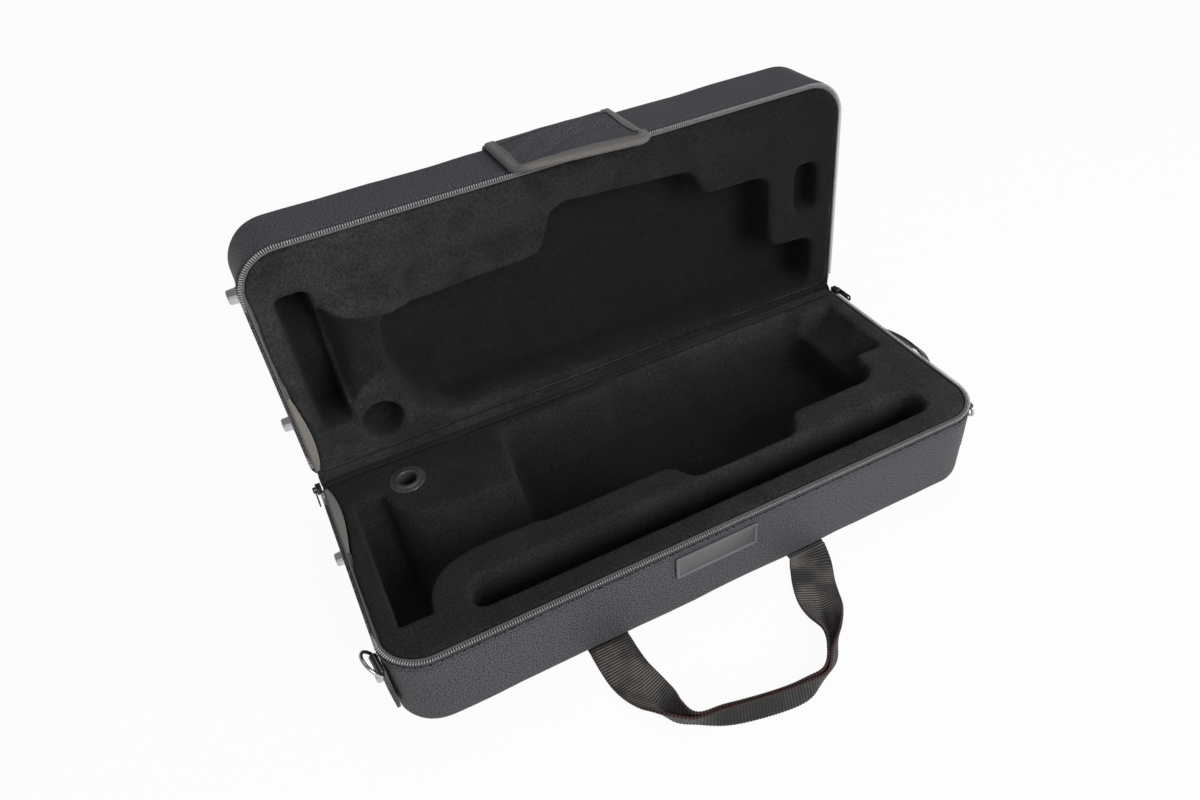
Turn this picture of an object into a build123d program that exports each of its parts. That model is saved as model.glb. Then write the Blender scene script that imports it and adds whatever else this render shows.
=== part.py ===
"""A zipped, padded trumpet case, modelled standing open.

The origin is the middle of the face the closed case rests on. +X runs along the case,
away from the bell's end, -Y is the front where it opens, and +Z is up. Both halves are
built closed, as tubs, and the lid is then turned back about the fold behind it.
"""
from build123d import *
import math
import os

# Driving sizes of the closed case, in millimetres and degrees
case_length = 580.0
case_width = 235.0
base_height = 88.0
lid_height = 70.0
lid_angle = 92.0

# Shape of the walls
front_corner = 40.0
rear_corner = 14.0
edge_round = 8.0
cloth = 1.2
cover_wall = 2.2
core_wall = 5.0
core_corner = 3.0
wall = cover_wall + core_wall
rim_gap = 4.0
cover_gap = 7.0
tape_overlap = 12.0
insert_gap = 0.8
lip_depth = 3.2
lip_inset = 4.6
edge_inset = 3.0
edge_width = 1.4
edge_gap = 1.0
mouth_round = 3.0

# Webbing, which also lifts the base off the table
webbing = 2.4
handle_width = 38.0
handle_spacing = 204.0
handle_middle = -9.5
grip_width = 19.0
grip_thickness = 4.8

# Trumpet shape pressed into the padding, measured in the base
bell_y = -1.5
bell_axis_drop = 6.0
slot_left = -268.0
slot_right = -238.0
slot_radius = 74.0
flare = [(-238.0, 64.0), (-232.0, 49.0), (-222.0, 38.0), (-204.0, 30.0), (-176.0, 26.5), (-120.0, 25.0)]
holder_x = -214.0
holder_y = 78.0
holder_flange = 17.0
holder_bore = 8.5
holder_depth = 32.0

# Fittings
foot_radius = 6.5
foot_height = 9.0
foot_spread = 69.0
base_foot_level = 31.0
lid_foot_level = 35.0
rivet_radius = 2.0
rivet_play = 0.1
washer_radius = 8.0
washer_thickness = 1.2
ring_turn = 7.0
ring_z = 69.0
ring_wire = 1.5
ring_play = 0.4
ring_width = 25.0
ring_reach = 17.0
left_raise = 60.0
right_raise = -72.0
tab_width = 20.0
tab_shift = 4.0
tab_layer = 1.5
tab_low = 20.0
badge_length = 80.0
badge_height = 25.0
badge_top = 75.0
badge_middle = -5.0
badge_frame = 3.0
grab_span = 64.0
grab_flat = 20.0
grab_rise = 17.0
grab_low = 46.0
grab_high = 76.0

# Zip
coil_radius = 1.2
coil_inset = 1.7
coil_grip = 0.4
lid_zip_short = 2.0
slider_length = 10.0
slider_height = 7.2
slider_out = 2.0
slider_in = 2.8
pull_length = 22.0
pull_width = 6.4
pull_thickness = 1.2
pin_height = 1.0

# Padded wrap for the carrying loop
wrap_length = 124.0
wrap_middle = 9.0
wrap_overhang = 10.0
wrap_drop = 8.4
wrap_corner = 12.0
wrap_thickness = 4.8
wrap_panel = 3.4
wrap_gap = 0.4
strip_thickness = 1.0
strip_width = 20.0
binding_width = 9.0
sewn_thickness = 3.5
sewn_width = 22.0

# Fold behind the two halves
fold_cover = 26.0
fold_half = 276.0
lining_play = 0.1

on_base = (Align.CENTER, Align.CENTER, Align.MIN)
half_length = case_length / 2
front = -case_width / 2
rear = case_width / 2
base_tub = base_height - webbing
zip_back = rear - rear_corner
lid_zip_back = zip_back - lid_zip_short
hinge_line = Axis((0, rear, base_height), (1, 0, 0))


def plan(inset, height=0.0):
    """The case's outline from above, drawn in by inset, as a face at a height."""
    outline = Rectangle(case_length - 2 * inset, case_width - 2 * inset)
    corners = outline.vertices().group_by(Axis.Y)
    outline = fillet(corners[0], front_corner - inset)
    outline = fillet(outline.vertices().group_by(Axis.Y)[-1], rear_corner - inset)
    return Pos(0, 0, height) * outline


def tub_solid(inset, floor, top, edge):
    """A block of the case's outline with its bottom edge rounded."""
    block = extrude(plan(inset, floor), top - floor)
    return fillet(block.edges().group_by(Axis.Z)[0], edge)


def foot_places(level):
    """Where the two end feet of a tub are fixed, with local X running into the case."""
    return [Pos(-half_length, side * foot_spread, level) for side in (-1, 1)]


def grab_places():
    """Where the base's end handle is riveted, with local X running into the case."""
    height = (grab_low + grab_high) / 2 - webbing
    reach = grab_span - grab_flat / 2
    return [Pos(half_length, side * reach, height) * Rot(0, 0, 180) for side in (-1, 1)]


def along_x(radius, start, end):
    """A round bar along X between two distances from where it is placed."""
    bar = Cylinder(radius, end - start, rotation=(0, 90, 0))
    return Pos((start + end) / 2, 0, 0) * bar


def before(back, height, depth):
    """Block over everything in front of a distance back, from a height downwards."""
    block = Box(2 * case_length, 2 * case_width, depth, align=(Align.CENTER, Align.MAX, Align.MAX))
    return Pos(0, back, height) * block


def cover(height, back, rivets):
    """Sewn nylon skin with its foam backing, thinned at the rim where the zip goes in."""
    outer = tub_solid(0, 0, height - rim_gap, edge_round)
    outer -= before(back, height, cover_gap)
    inner = tub_solid(cover_wall, cover_wall, height, edge_round - cover_wall)
    rebate = extrude(plan(cloth, height - tape_overlap), tape_overlap)
    skin = outer - inner - rebate
    for place in rivets:
        skin -= place * along_x(rivet_radius + rivet_play, -1, wall)
    return skin


def core(height, rivets):
    """Stiff board tub with a thin edge that stands up beside the zip, recessed for washers."""
    outer = tub_solid(cover_wall, cover_wall, height - rim_gap, edge_round - cover_wall)
    inner = tub_solid(wall, wall, height, core_corner)
    low = height - rim_gap - cloth
    edge = extrude(plan(edge_inset, low) - plan(edge_inset + edge_width, low), height - edge_gap - low)
    board = outer - inner + (edge & before(rear - wall, height, tape_overlap))
    for place in rivets:
        board -= place * along_x(rivet_radius + rivet_play, -1, wall + 1)
        board -= place * along_x(washer_radius + rivet_play, wall - washer_thickness, wall + 1)
    return board


def zip_tape(height, back):
    """Woven zip tape sewn inside the rim of the cover, up to a distance back at each end."""
    low = height - tape_overlap
    top = height - insert_gap - 2 * coil_radius + coil_grip
    band = extrude(plan(cloth, low) - plan(cover_wall, low), top - low)
    return band & before(back, height, 2 * tape_overlap)


def zip_coil(height, back):
    """Half of the zip's coil, a bead along the edge of the tape."""
    side = half_length - coil_inset
    near = front + coil_inset
    path = FilletPolyline(
        (-side, back, 0), (-side, near, 0), (side, near, 0), (side, back, 0),
        radius=front_corner - coil_inset,
    )
    bead = sweep(Plane(path @ 0, z_dir=path % 0) * Circle(coil_radius), path)
    return Pos(0, 0, height - insert_gap + coil_grip - coil_radius) * bead


def padding_block(height):
    """Foam block that fills the board tub, with a lip that covers the board's edge."""
    top = height - insert_gap
    block = tub_solid(wall, wall, top, core_corner)
    lip = extrude(plan(lip_inset, top - lip_depth), lip_depth)
    lip = fillet(lip.edges().group_by(Axis.Z)[-1], 1.5)
    behind = Pos(0, rear - wall, 0) * Box(
        case_length, wall, 3 * height, align=(Align.CENTER, Align.MIN, Align.CENTER)
    )
    return block + (lip - behind) - lens_gap(height)


def lens_gap(height):
    """Sliver at the left of the hinge where the lip stands back and shows the board."""
    length, width = 112.0, 5.5
    radius = (length ** 2 / 4 + width ** 2) / (2 * width)
    disc = Cylinder(radius, 2 * rim_gap)
    return Pos(-half_length + lip_inset + width - radius, rear - wall - length / 2, height) * disc


def outline(corners):
    """Flat face from corners given as x, y and the radius that rounds each one."""
    flat = make_face(Polyline(*[(x, y) for x, y, _ in corners], close=True))
    for x, y, radius in corners:
        flat = fillet(flat.vertices().sort_by_distance((x, y, 0))[0], radius)
    return flat


def pocket(corners, top, depth, draft, floor_round):
    """A moulded hollow: rounded outline and mouth, sloping walls and a rounded floor."""
    mouth = outline(corners)
    slope = math.tan(math.radians(draft))
    floor = offset(mouth, -depth * slope)
    hollow = loft([Pos(0, 0, top) * mouth, Pos(0, 0, top - depth) * floor])
    hollow = fillet(hollow.edges().group_by(Axis.Z)[0], floor_round)
    bend = mouth_round * 0.3
    rings = [(0, mouth_round), (bend, bend), (mouth_round, -mouth_round * slope)]
    sections = [Pos(0, 0, top - drop) * offset(mouth, grow) for drop, grow in rings]
    return hollow + loft(sections, ruled=True)


def bell_groove(axis_height):
    """Flared groove that the bell's throat lies in, turned about the bell's axis."""
    start, end = flare[0], flare[-1]
    profile = Spline(*flare) + Polyline(end, (end[0], 0), (start[0], 0), start)
    groove = revolve(make_face(profile), Axis.X)
    return Pos(0, bell_y, axis_height) * groove


def base_insert():
    """Plush-covered foam moulding in the base, with the lower half of the trumpet."""
    top = base_height - insert_gap
    foam = Pos(0, 0, webbing) * padding_block(base_tub)
    body_bay = [
        (-116, 96, 12), (-8, 96, 14), (6, 105, 14), (236, 105, 22), (236, -28, 22),
        (134, -28, 12), (120, -54, 14), (12, -54, 14), (0, -31, 12), (-134, -31, 12),
    ]
    foam -= pocket(body_bay, top, 66, 6, 12)
    foam -= Pos(226, 50, top + 20) * Cylinder(48, 84, rotation=(90, 0, 0))
    rod_bay = [(-216, -90, 12), (-202, -60, 12), (246, -60, 12), (246, -90, 12)]
    foam -= pocket(rod_bay, top, 44, 3, 7)
    foam -= bell_groove(base_height - bell_axis_drop)
    slot_axis = Pos((slot_left + slot_right) / 2, bell_y, base_height)
    foam -= slot_axis * Cylinder(slot_radius, slot_right - slot_left, rotation=(0, 90, 0))
    holder_hole = Cylinder(holder_bore + 2, holder_depth + 2, align=(Align.CENTER, Align.CENTER, Align.MAX))
    return foam - Pos(holder_x, holder_y, top) * holder_hole


def mouthpiece_holder():
    """Plastic bush for a spare mouthpiece: flange, raised collar and tube."""
    half = [
        (holder_bore, 1.8), (holder_bore + 3, 1.8), (holder_bore + 4.2, 0.9), (holder_flange - 1, 0.6),
        (holder_flange, 0), (holder_bore + 2, 0), (holder_bore + 2, -holder_depth),
        (holder_bore, -holder_depth),
    ]
    bush = revolve(Plane.XZ * make_face(Polyline(*half, close=True)), Axis.Z)
    return Pos(holder_x, holder_y, base_height - insert_gap) * bush


def lid_insert():
    """Plush-covered foam moulding in the lid, drawn as a tub that opens upwards."""
    top = lid_height - insert_gap
    foam = padding_block(lid_height)
    body_bay = [
        (-186, -28, 24), (-200, 16, 60), (-184, 74, 50), (-150, 98, 30), (262, 103, 16), (262, 46, 12),
        (209, 42, 12), (207, -38, 14), (134, -41, 12), (122, -68, 14), (-18, -78, 16), (-36, -34, 14),
    ]
    foam -= pocket(body_bay, top, 44, 8, 12)
    ledge = [(-166, -20, 8), (-20, -20, 8), (-14, -76, 10), (-162, -66, 14)]
    foam -= pocket(ledge, top, 6, 25, 3)
    side_bay = [(238, 14, 8), (238, -38, 8), (265, -38, 8), (265, 14, 8)]
    foam -= pocket(side_bay, top, 24, 8, 5)
    bell_slot = [(slot_left, 67, 8), (slot_left, -71, 8), (slot_right, -71, 8), (slot_right, 67, 8)]
    foam -= pocket(bell_slot, top, 54, 2, 5)
    foam -= bell_groove(lid_height + bell_axis_drop)
    cup = Cylinder(19.5, 28, align=(Align.CENTER, Align.CENTER, Align.MAX))
    foam -= Pos(holder_x, holder_y, top) * cup
    return foam


def end_foot(place):
    """Metal foot on the left end, so the closed case can stand on that end."""
    flange = Cylinder(foot_radius, 2.4, align=on_base)
    post = Cylinder(foot_radius - 1.2, foot_height, align=on_base)
    post = fillet(post.edges().group_by(Axis.Z)[-1], 2)
    return place * Rot(0, -90, 0) * (flange + post)


def foot_rivet(place):
    """Rivet and washer that clamp a foot through the cover and the board."""
    shank = along_x(rivet_radius, 0, wall - washer_thickness)
    washer = along_x(washer_radius, wall - washer_thickness, wall)
    return place * (shank + washer)


def grab_rivet(place):
    """Domed rivet through the end handle's webbing, with its washer inside the board."""
    head = Rot(0, -90, 0) * Cylinder(5, 2, align=on_base)
    head = fillet(head.edges().group_by(Axis.X)[0], 1.4)
    shank = along_x(rivet_radius, -webbing, wall - washer_thickness)
    washer = along_x(washer_radius, wall - washer_thickness, wall)
    return place * (Pos(-webbing, 0, 0) * head + shank + washer)


def group(solids):
    """Identical small pieces kept as one group of separate solids."""
    return Compound(list(solids))


def plate(length, thickness, height, corner):
    """Upright plate with rounded corners, hung from the middle of its top back edge."""
    slab = Box(length, thickness, height, align=(Align.CENTER, Align.MAX, Align.MAX))
    return fillet(slab.edges().filter_by(Axis.Y), corner)


def badge():
    """Bare moulded plate with a raised border, stuck to the front wall."""
    border = plate(badge_length, 2, badge_height, 2)
    inside = plate(badge_length - 2 * badge_frame, 0.8, badge_height - 2 * badge_frame, 1)
    return Pos(badge_middle, front, badge_top) * (border - Pos(0, -1.2, -badge_frame) * inside)


def anchor_straps():
    """Two strips of the handle's webbing, sewn flat across the bottom of the base."""
    near = front + 1.6
    far = rear - 6
    strip = Box(handle_width, far - near, webbing, align=on_base)
    leg = handle_spacing / 2
    return group(Pos(handle_middle + side * leg, (near + far) / 2, 0) * strip for side in (-1, 1))


def handle_stations():
    """Stations along the loop: place, heading, width, thickness and lean of the webbing."""
    left = handle_middle - handle_spacing / 2
    right = handle_middle + handle_spacing / 2
    flat = (handle_width, webbing, 0)
    curling = (handle_width - 4, 2.8, 8)
    folding = (handle_width - 9, 3.4, 24)
    closing = (handle_width - 15, 4.2, 46)
    grip = (grip_width, grip_thickness, 64)
    return [
        (left, front, 90, *flat),
        (left, front - 16, 90, *flat),
        (left + 1, front - 32, 86, *flat),
        (left + 4, front - 50, 79, *curling),
        (left + 8, front - 68, 72, *folding),
        (left + 14, front - 86, 58, *closing),
        (left + 27, front - 99, 32, *grip),
        (left + 52, front - 108, 17, *grip),
        (left + 87, front - 116, 11, *grip),
        (right - 90, front - 119, 2, *grip),
        (right - 69, front - 115, -22, *grip),
        (right - 51, front - 103, -42, *grip),
        (right - 39, front - 87, -58, *closing),
        (right - 31, front - 67, -68, *folding),
        (right - 24, front - 48, -68, *curling),
        (right - 16, front - 31, -66, *flat),
        (right - 7, front - 15, -72, *flat),
        (right, front, -90, *flat),
    ]


def handle():
    """Carrying loop: flat webbing legs that fold and stand up into the grip."""
    faces = []
    for x, y, heading, width, thickness, lean in handle_stations():
        turn, tilt = math.radians(heading), math.radians(lean)
        along = Vector(math.cos(turn), -math.sin(turn), 0)
        across = Vector(math.sin(turn), math.cos(turn), 0) * math.cos(tilt)
        across = across + Vector(0, 0, math.sin(tilt))
        height = width / 2 * math.sin(tilt) + thickness / 2 * math.cos(tilt)
        station = Plane(origin=(x, y, height), x_dir=across, z_dir=along)
        faces.append(station * Rectangle(width, thickness))
    return loft(faces, ruled=True)


def grab_handle():
    """Short webbing handle that bows out from the right end."""
    x = half_length + webbing / 2
    foot = grab_span - grab_flat
    bow = Spline((x, -foot), (x + grab_rise, 0), (x, foot), tangents=[(0.4, 1), (-0.4, 1)])
    line = Line((x, -grab_span), (x, -foot)) + bow + Line((x, foot), (x, grab_span))
    band = Pos(0, 0, grab_low) * extrude(trace(line, webbing), grab_high - grab_low)
    for place in grab_places():
        band -= Pos(0, 0, webbing) * place * along_x(rivet_radius + rivet_play, -2 * webbing, 1)
    return band


def tab_place():
    """Where the left tab meets the rounded front corner, with local -X facing out."""
    turn = math.radians(ring_turn)
    x = -half_length + front_corner * (1 - math.cos(turn))
    y = front + front_corner * (1 - math.sin(turn))
    return Pos(x, y, ring_z) * Rot(0, 0, ring_turn) * Pos(-ring_wire - ring_play - tab_layer, -tab_shift, 0)


def ring_tab(side):
    """Folded webbing tab by a front corner that holds a strap ring in its loop."""
    bore_radius = ring_wire + ring_play
    loop = bore_radius + tab_layer
    eye = Cylinder(loop, tab_width, rotation=(90, 0, 0))
    bore = Cylinder(bore_radius, 2 * tab_width, rotation=(90, 0, 0))
    tail = Box(2 * tab_layer, tab_width, ring_z - tab_low, align=(Align.MAX, Align.CENTER, Align.MAX))
    tab = tab_place() * (eye + Pos(loop, 0, 0) * tail - bore)
    return tab if side < 0 else mirror(tab, about=Plane.YZ)


def d_ring(side):
    """Wire ring in its tab: the left one stands off the wall and the right one hangs."""
    half = ring_width / 2
    shoulder = ring_reach - half
    outline = Polyline((-half, shoulder), (-half, 0), (half, 0), (half, shoulder))
    bow = ThreePointArc((half, shoulder), (0, ring_reach), (-half, shoulder))
    flat = make_face(outline + bow)
    path = fillet(flat.vertices().group_by(Axis.Y)[0], 2.2).wire()
    ring = sweep(Plane(path @ 0, z_dir=path % 0) * Circle(ring_wire), path)
    rise = left_raise if side < 0 else right_raise
    ring = tab_place() * Rot(0, rise - 90, 0) * Rot(0, 0, 90) * Rot(90, 0, 0) * ring
    return ring if side < 0 else mirror(ring, about=Plane.YZ)


def slider_place():
    """Middle of the left slider's outer face, where the left run of the coil ends."""
    return Pos(-half_length - slider_out, rear - rear_corner + slider_length / 2, base_height)


def zip_slider(side):
    """Slider parked at the end of the coil: two wings, and a bridge for its pull."""
    depth = slider_out + slider_in
    body = Box(depth, slider_length, slider_height, align=(Align.MIN, Align.CENTER, Align.CENTER))
    body = fillet(body.edges().filter_by(Axis.X), 1.4)
    for edge in (-1, 1):
        groove = Box(1.5, slider_length + 1, 1.6)
        body -= Pos(depth - 1.9, 0, edge * slider_height / 2) * groove
    bridge = Box(3.2, 7, 2, align=(Align.MAX, Align.CENTER, Align.CENTER))
    bridge = fillet(bridge.edges().filter_by(Axis.Z).group_by(Axis.X)[0], 1.2)
    eye = Box(2, 4.6, 4, align=(Align.MAX, Align.CENTER, Align.CENTER))
    slider = slider_place() * (body + (bridge - eye))
    return slider if side < 0 else mirror(slider, about=Plane.YZ)


def zip_pull(side):
    """Flat pull lying along the coil, with its end bar through the slider's bridge."""
    bar = 0.7
    length = pull_length + bar
    strip = Box(pull_thickness, length, pull_width, align=(Align.CENTER, Align.MAX, Align.CENTER))
    strip = fillet(strip.edges().filter_by(Axis.X).group_by(Axis.Y)[0], 2.4)
    window = Box(4, 3.6, 3.2, align=(Align.CENTER, Align.MAX, Align.CENTER))
    tail_hole = Cylinder(1.4, 4, rotation=(0, 90, 0))
    strip = Pos(0, bar, 0) * strip - Pos(0, -bar, 0) * window
    strip -= Pos(0, 3.4 - pull_length, 0) * tail_hole
    pull = slider_place() * Pos(-pin_height, 0, 0) * strip
    return pull if side < 0 else mirror(pull, about=Plane.YZ)


def fold_cloth():
    """Nylon strip glued down the back of both halves, which is the case's hinge."""
    leaf = Box(2 * fold_half, cloth, fold_cover, align=(Align.CENTER, Align.MIN, Align.MAX))
    lower = Pos(0, rear, base_height) * leaf
    upper = Pos(0, rear, base_height + fold_cover) * leaf
    return lower + upper.rotate(hinge_line, -lid_angle)


def fold_lining():
    """Plush strip over the back edges of both boards, carried through the fold."""
    thickness = rim_gap - insert_gap + 0.3
    width = wall - 2 * lining_play
    leaf = Box(2 * fold_half, width, thickness, align=(Align.CENTER, Align.MAX, Align.MIN))
    lower = Pos(0, rear - lining_play, base_height - rim_gap) * leaf
    upper = Pos(0, rear - lining_play, base_height + rim_gap - thickness) * leaf
    step = base_height - rim_gap + thickness
    crease = Polyline(
        (rear - 3, step), (rear - lining_play, step), (rear, base_height + lining_play),
        (rear + 0.9, base_height + lining_play), (rear + 0.9, base_height + 4), close=True,
    )
    wedge = extrude(Plane.YZ * make_face(crease), fold_half, both=True)
    return lower + upper.rotate(hinge_line, -lid_angle) + wedge


def hang_wrap(piece):
    """Place a piece of the wrap, drawn hanging from the lid's outer front edge."""
    closed = Pos(wrap_middle, front - wrap_gap, base_height + lid_height - wrap_drop) * piece
    return closed.rotate(hinge_line, -lid_angle)


def wrap_outline(inset, thickness):
    """Slab of the wrap's shape, drawn in by inset, with its free corners rounded."""
    hang = lid_height - wrap_drop + wrap_overhang
    slab = Box(
        wrap_length - 2 * inset, thickness, hang - inset,
        align=(Align.CENTER, Align.MAX, Align.MAX),
    )
    return fillet(slab.edges().filter_by(Axis.Y).group_by(Axis.Z)[0], wrap_corner - inset)


def wrap_panel_solid():
    """Padded nylon panel that folds round the carrying loop."""
    skin = (wrap_thickness - wrap_panel) / 2
    panel = Pos(0, -strip_thickness - skin, 0) * wrap_outline(1, wrap_panel)
    pad = Pos(0, -strip_thickness, 0) * wrap_outline(binding_width, wrap_thickness)
    return panel + pad


def wrap_binding():
    """Cloth binding folded over three edges of the wrap."""
    block = Pos(0, -strip_thickness, 0) * wrap_outline(0, wrap_thickness)
    return block - wrap_panel_solid()


def wrap_strip(drop):
    """Hook or loop strip sewn across the underside of the wrap."""
    length = wrap_length - 2 * binding_width - 4
    strip = Box(length, strip_thickness, strip_width, align=(Align.CENTER, Align.MAX, Align.MAX))
    return Pos(0, 0, -drop) * strip


def wrap_sewn_edge():
    """Sewn end of the wrap: over the lid's outer face and round its front edge."""
    top = base_height + lid_height
    y, z = front + edge_round, top - edge_round
    outer = edge_round + sewn_thickness
    back = y + sewn_width
    arc_in = CenterArc((y, z), edge_round, 90, 90)
    arc_out = CenterArc((y, z), outer, 90, 90)
    outline = (
        arc_in + Line(arc_in @ 1, arc_out @ 1) + arc_out + Line(arc_out @ 0, (back, top + sewn_thickness))
        + Line((back, top + sewn_thickness), (back, top)) + Line((back, top), arc_in @ 0)
    )
    strip = extrude(Plane.YZ * make_face(outline), wrap_length / 2, both=True)
    return Pos(wrap_middle, 0, 0) * strip.rotate(hinge_line, -lid_angle)


def save(name, shape):
    export_step(shape, "parts/" + name + ".step")


def open_lid(tub):
    """Turn a piece built as an open tub over, onto the base, and swing it open."""
    closed = Pos(0, 0, base_height + lid_height) * mirror(tub, about=Plane.XY)
    return closed.rotate(hinge_line, -lid_angle)


def raise_base(tub):
    return Pos(0, 0, webbing) * tub


os.makedirs("parts", exist_ok=True)
base_rivets = foot_places(base_foot_level) + grab_places()
lid_rivets = foot_places(lid_foot_level)

save("base_cover", raise_base(cover(base_tub, zip_back, base_rivets)))
save("base_core", raise_base(core(base_tub, base_rivets)))
save("base_insert", base_insert())
save("base_zip_tape", raise_base(zip_tape(base_tub, zip_back)))
save("base_zip_coil", raise_base(zip_coil(base_tub, zip_back)))
save("mouthpiece_holder", mouthpiece_holder())
save("badge_plate", badge())
save("handle_anchor_straps", anchor_straps())
save("base_end_feet", group(raise_base(end_foot(place)) for place in foot_places(base_foot_level)))
save("base_foot_rivets", group(raise_base(foot_rivet(place)) for place in foot_places(base_foot_level)))
save("end_grab_handle", grab_handle())
save("grab_handle_rivets", group(raise_base(grab_rivet(place)) for place in grab_places()))
save("carry_handle", handle())

save("lid_cover", open_lid(cover(lid_height, lid_zip_back, lid_rivets)))
save("lid_core", open_lid(core(lid_height, lid_rivets)))
save("lid_insert", open_lid(lid_insert()))
save("lid_zip_tape", open_lid(zip_tape(lid_height, lid_zip_back)))
save("lid_zip_coil", open_lid(zip_coil(lid_height, lid_zip_back)))
save("lid_end_feet", group(open_lid(end_foot(place)) for place in lid_rivets))
save("lid_foot_rivets", group(open_lid(foot_rivet(place)) for place in lid_rivets))

save("hinge_cloth", fold_cloth())
save("hinge_lining", fold_lining())
save("wrap_sewn_edge", wrap_sewn_edge())
save("handle_wrap", hang_wrap(wrap_panel_solid()))
save("wrap_binding", hang_wrap(wrap_binding()))
save("wrap_hook_strip", hang_wrap(wrap_strip(44)))
save("wrap_loop_strip", hang_wrap(wrap_strip(8)))

for name, side in (("left", -1), ("right", 1)):
    save(name + "_ring_tab", ring_tab(side))
    save(name + "_d_ring", d_ring(side))
    save(name + "_zip_slider", zip_slider(side))
    save(name + "_zip_pull", zip_pull(side))
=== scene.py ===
"""Looks of a padded trumpet case that stands open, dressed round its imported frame.

The sections follow the case as it is put together: cover, boards, moulded padding, flaps, zip,
stitches, fold, holder, fittings, webbing, carrying loop and the wrap that closes round it.
"""
import math

import bmesh
import bpy
from mathutils import Matrix, Vector, noise


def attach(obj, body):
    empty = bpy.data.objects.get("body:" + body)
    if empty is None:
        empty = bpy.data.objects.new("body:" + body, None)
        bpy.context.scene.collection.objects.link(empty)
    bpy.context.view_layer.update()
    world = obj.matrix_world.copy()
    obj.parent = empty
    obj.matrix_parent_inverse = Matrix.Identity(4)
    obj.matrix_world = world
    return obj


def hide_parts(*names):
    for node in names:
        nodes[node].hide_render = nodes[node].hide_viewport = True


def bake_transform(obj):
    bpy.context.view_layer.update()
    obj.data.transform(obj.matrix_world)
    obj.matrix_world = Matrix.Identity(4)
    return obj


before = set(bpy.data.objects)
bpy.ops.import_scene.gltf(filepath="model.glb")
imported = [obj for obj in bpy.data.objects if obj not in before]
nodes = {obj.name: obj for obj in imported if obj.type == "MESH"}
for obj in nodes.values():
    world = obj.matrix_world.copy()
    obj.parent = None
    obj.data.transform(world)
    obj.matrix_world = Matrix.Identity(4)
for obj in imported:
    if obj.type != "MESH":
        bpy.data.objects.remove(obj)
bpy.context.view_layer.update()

# The camera stands in front of the bell's end and above the base, and looks down over both
# halves with a short lens. Its place was fitted to the outlines of the case.
camera_place = Vector((-0.2622, -0.5309, 0.6531))
heading, dip, roll = (math.radians(angle) for angle in (22.03, 40.52, 6.64))
ahead = Vector((math.sin(heading) * math.cos(dip), math.cos(heading) * math.cos(dip), -math.sin(dip)))
level = ahead.cross(Vector((0, 0, 1))).normalized()
plumb = ahead.cross(level)
across = level * math.cos(roll) + plumb * math.sin(roll)
down = plumb * math.cos(roll) - level * math.sin(roll)
lens = bpy.data.cameras.new("camera")
lens.sensor_width = 36
lens.lens = 26.52
lens.clip_start = 0.01
camera = bpy.data.objects.new("camera", lens)
camera.matrix_world = Matrix((across, -down, -ahead)).transposed().to_4x4()
camera.location = camera_place
bpy.context.scene.collection.objects.link(camera)
bpy.context.scene.camera = camera
bpy.context.scene.view_settings.view_transform = "Standard"


# The studio is a white table with no edge, a broad lamp low in front and to the right, a
# weak one on the left, a cool one above and a dim pale room. The table glows to stay white.
def aim_lamp(name, place, target, size, power, tint=(1, 1, 1)):
    """Square soft lamp at a place, facing a target."""
    lamp = bpy.data.lights.new(name, "AREA")
    lamp.size = size
    lamp.energy = power
    lamp.color = tint
    stand = bpy.data.objects.new(name, lamp)
    stand.location = place
    stand.rotation_euler = (Vector(target) - Vector(place)).to_track_quat("-Z", "Y").to_euler()
    bpy.context.scene.collection.objects.link(stand)


aim_lamp("key", (0.8, -2.1, 1.3), (0, 0, 0.1), 1.5, 50)
aim_lamp("fill", (-1.2, -2.2, 1.1), (0, 0, 0.1), 1.6, 4)
aim_lamp("top", (0.3, 0.5, 2.2), (0, 0.05, 0.1), 1.2, 5, (0.72, 0.82, 1.0))


class Signal:
    """A number, colour or vector that varies over a surface; arithmetic adds Math nodes."""

    def __init__(self, finish, socket):
        self.finish = finish
        self.socket = socket

    def __add__(self, other):
        return self.finish.math("ADD", self, other)

    def __sub__(self, other):
        return self.finish.math("SUBTRACT", self, other)

    def __rsub__(self, other):
        return self.finish.math("SUBTRACT", other, self)

    def __mul__(self, other):
        return self.finish.math("MULTIPLY", self, other)

    def wave(self, pitch):
        """A sine with the given pitch in metres, from 0 to 1."""
        return self.finish.math("SINE", self * (2 * math.pi / pitch)) * 0.5 + 0.5


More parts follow.
